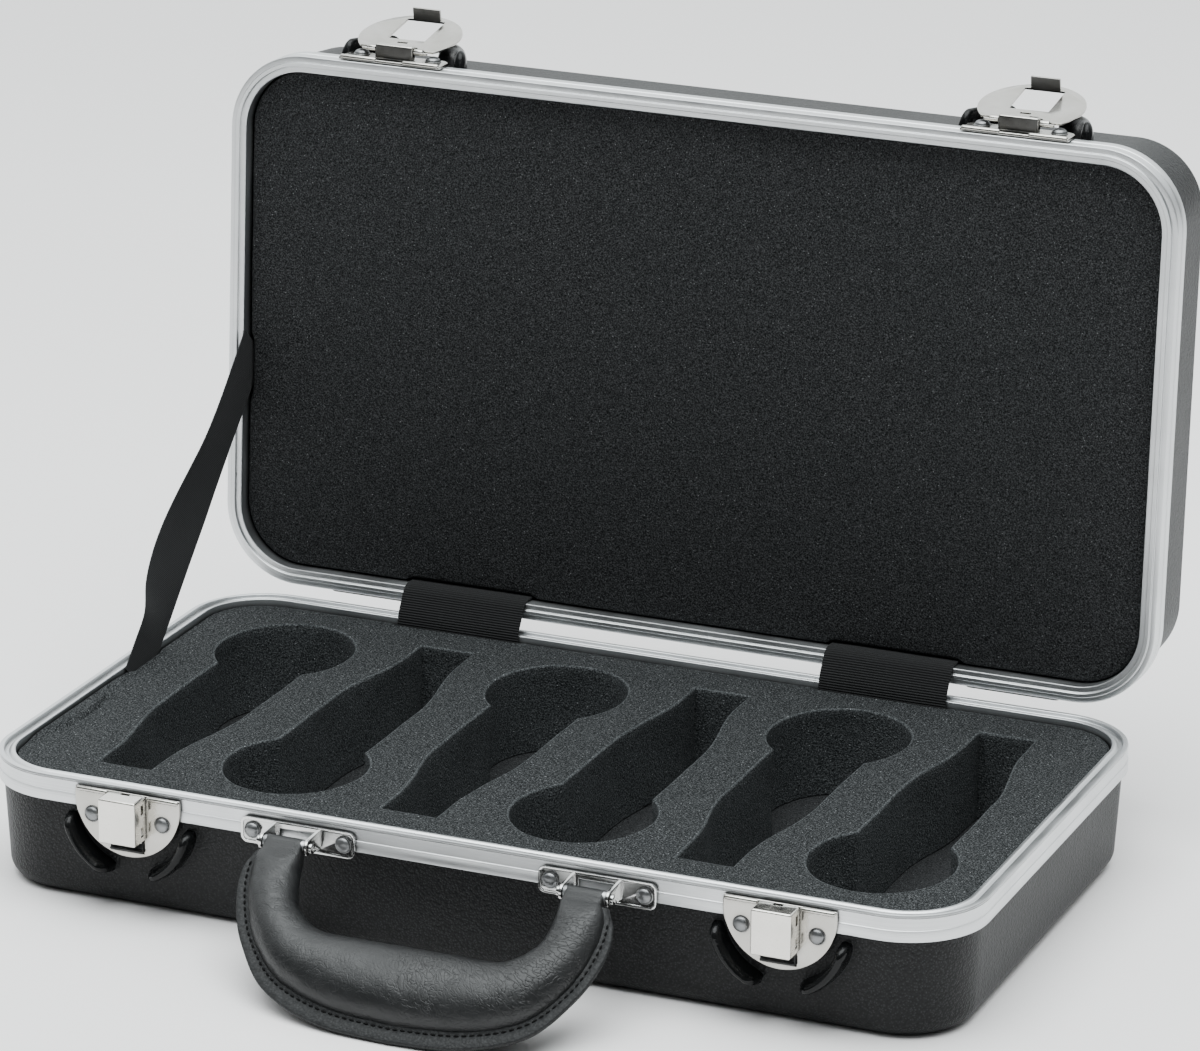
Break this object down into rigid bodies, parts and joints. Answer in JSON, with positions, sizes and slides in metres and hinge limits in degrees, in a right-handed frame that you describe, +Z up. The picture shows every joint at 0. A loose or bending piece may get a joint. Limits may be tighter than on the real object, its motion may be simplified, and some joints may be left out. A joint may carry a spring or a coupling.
{
  "type": "pocketed carrying case",
  "caption": "Rectangular hard-shell carrying case with metal-framed halves, pocketed foam lining, hasp latches, a swinging padded handle and a strap-stayed lid.",
  "frame": {"origin": "centre of the base half's flat bottom face", "axes": "+X to the case's right seen from the front, +Y from the handle side to the hinge side, +Z up"},
  "size_m": [0.45, 0.4017, 0.327],
  "materials": {
    "shell_plastic": "black leather-grained ABS",
    "aluminium": "satin anodised",
    "nickel": "nickel plated",
    "chrome": "bright plated",
    "steel": "zinc plated",
    "foam": "open-cell charcoal foam",
    "webbing": "woven black",
    "leather": "wrinkled black leatherette"
  },
  "bodies": {
    "base": {"base_shell": "shell_plastic", "base_frame": "aluminium", "floor_pad": "foam", "pocket_foam": "foam", "lid_stay_strap": "webbing", "latch_plate_left": "nickel", "latch_spring_left": "steel", "handle_bracket_left": "chrome", "handle_pin_left": "chrome", "hinge_leaf_base_left": "steel", "hinge_pin_left": "steel", "hinge_cover_left": "webbing", "latch_rivet_left_outer": "nickel", "bracket_rivet_left_outer": "chrome", "latch_rivet_left_inner": "nickel", "bracket_rivet_left_inner": "chrome", "latch_plate_right": "nickel", "latch_spring_right": "steel", "handle_bracket_right": "chrome", "handle_pin_right": "chrome", "hinge_leaf_base_right": "steel", "hinge_pin_right": "steel", "hinge_cover_right": "webbing", "latch_rivet_right_outer": "nickel", "bracket_rivet_right_outer": "chrome", "latch_rivet_right_inner": "nickel", "bracket_rivet_right_inner": "chrome"},
    "lid": {"lid_shell": "shell_plastic", "lid_frame": "aluminium", "lid_foam": "foam", "hasp_rivet_left_outer": "nickel", "hasp_rivet_left_inner": "nickel", "hasp_plate_left": "nickel", "hasp_pin_left": "steel", "hasp_spring_left": "steel", "hinge_leaf_lid_left": "steel", "hasp_rivet_right_outer": "nickel", "hasp_rivet_right_inner": "nickel", "hasp_plate_right": "nickel", "hasp_pin_right": "steel", "hasp_spring_right": "steel", "hinge_leaf_lid_right": "steel"},
    "hasp_left": {"hasp_left": "nickel"},
    "hasp_right": {"hasp_right": "nickel"},
    "button_left": {"latch_button_left": "nickel", "latch_catch_left": "steel"},
    "button_right": {"latch_button_right": "nickel", "latch_catch_right": "steel"},
    "handle": {"handle_end_left": "steel", "handle_end_right": "steel", "handle_grip": "leather"}
  },
  "joints": [
    {"name": "lid_hinge", "type": "hinge", "parent": "base", "child": "lid", "pos_m": [0, 0.1267, 0.0595], "axis": [1, 0, 0], "range_deg": [0, 93], "deforming": ["lid_stay_strap", "hinge_cover_left", "hinge_cover_right"]},
    {"name": "hasp_left_hinge", "type": "hinge", "parent": "lid", "child": "hasp_left", "pos_m": [-0.148, 0.14733, 0.31547], "axis": [1, 0, 0], "range_deg": [0, 168], "stiffness_Nm_per_rad": 0.002, "springref_deg": -34.38},
    {"name": "hasp_right_hinge", "type": "hinge", "parent": "lid", "child": "hasp_right", "pos_m": [0.148, 0.14733, 0.31547], "axis": [1, 0, 0], "range_deg": [0, 168], "stiffness_Nm_per_rad": 0.002, "springref_deg": -34.38},
    {"name": "button_left_press", "type": "slide", "parent": "base", "child": "button_left", "axis": [0, 0, -1], "range_m": [0, 0.0018], "stiffness_N_per_m": 600, "springref_m": -0.001},
    {"name": "button_right_press", "type": "slide", "parent": "base", "child": "button_right", "axis": [0, 0, -1], "range_m": [0, 0.0018], "stiffness_N_per_m": 600, "springref_m": -0.001},
    {"name": "handle_pivot", "type": "hinge", "parent": "base", "child": "handle", "pos_m": [0, -0.138, 0.0493], "axis": [-1, 0, 0], "range_deg": [-55, 120]}
  ]
}
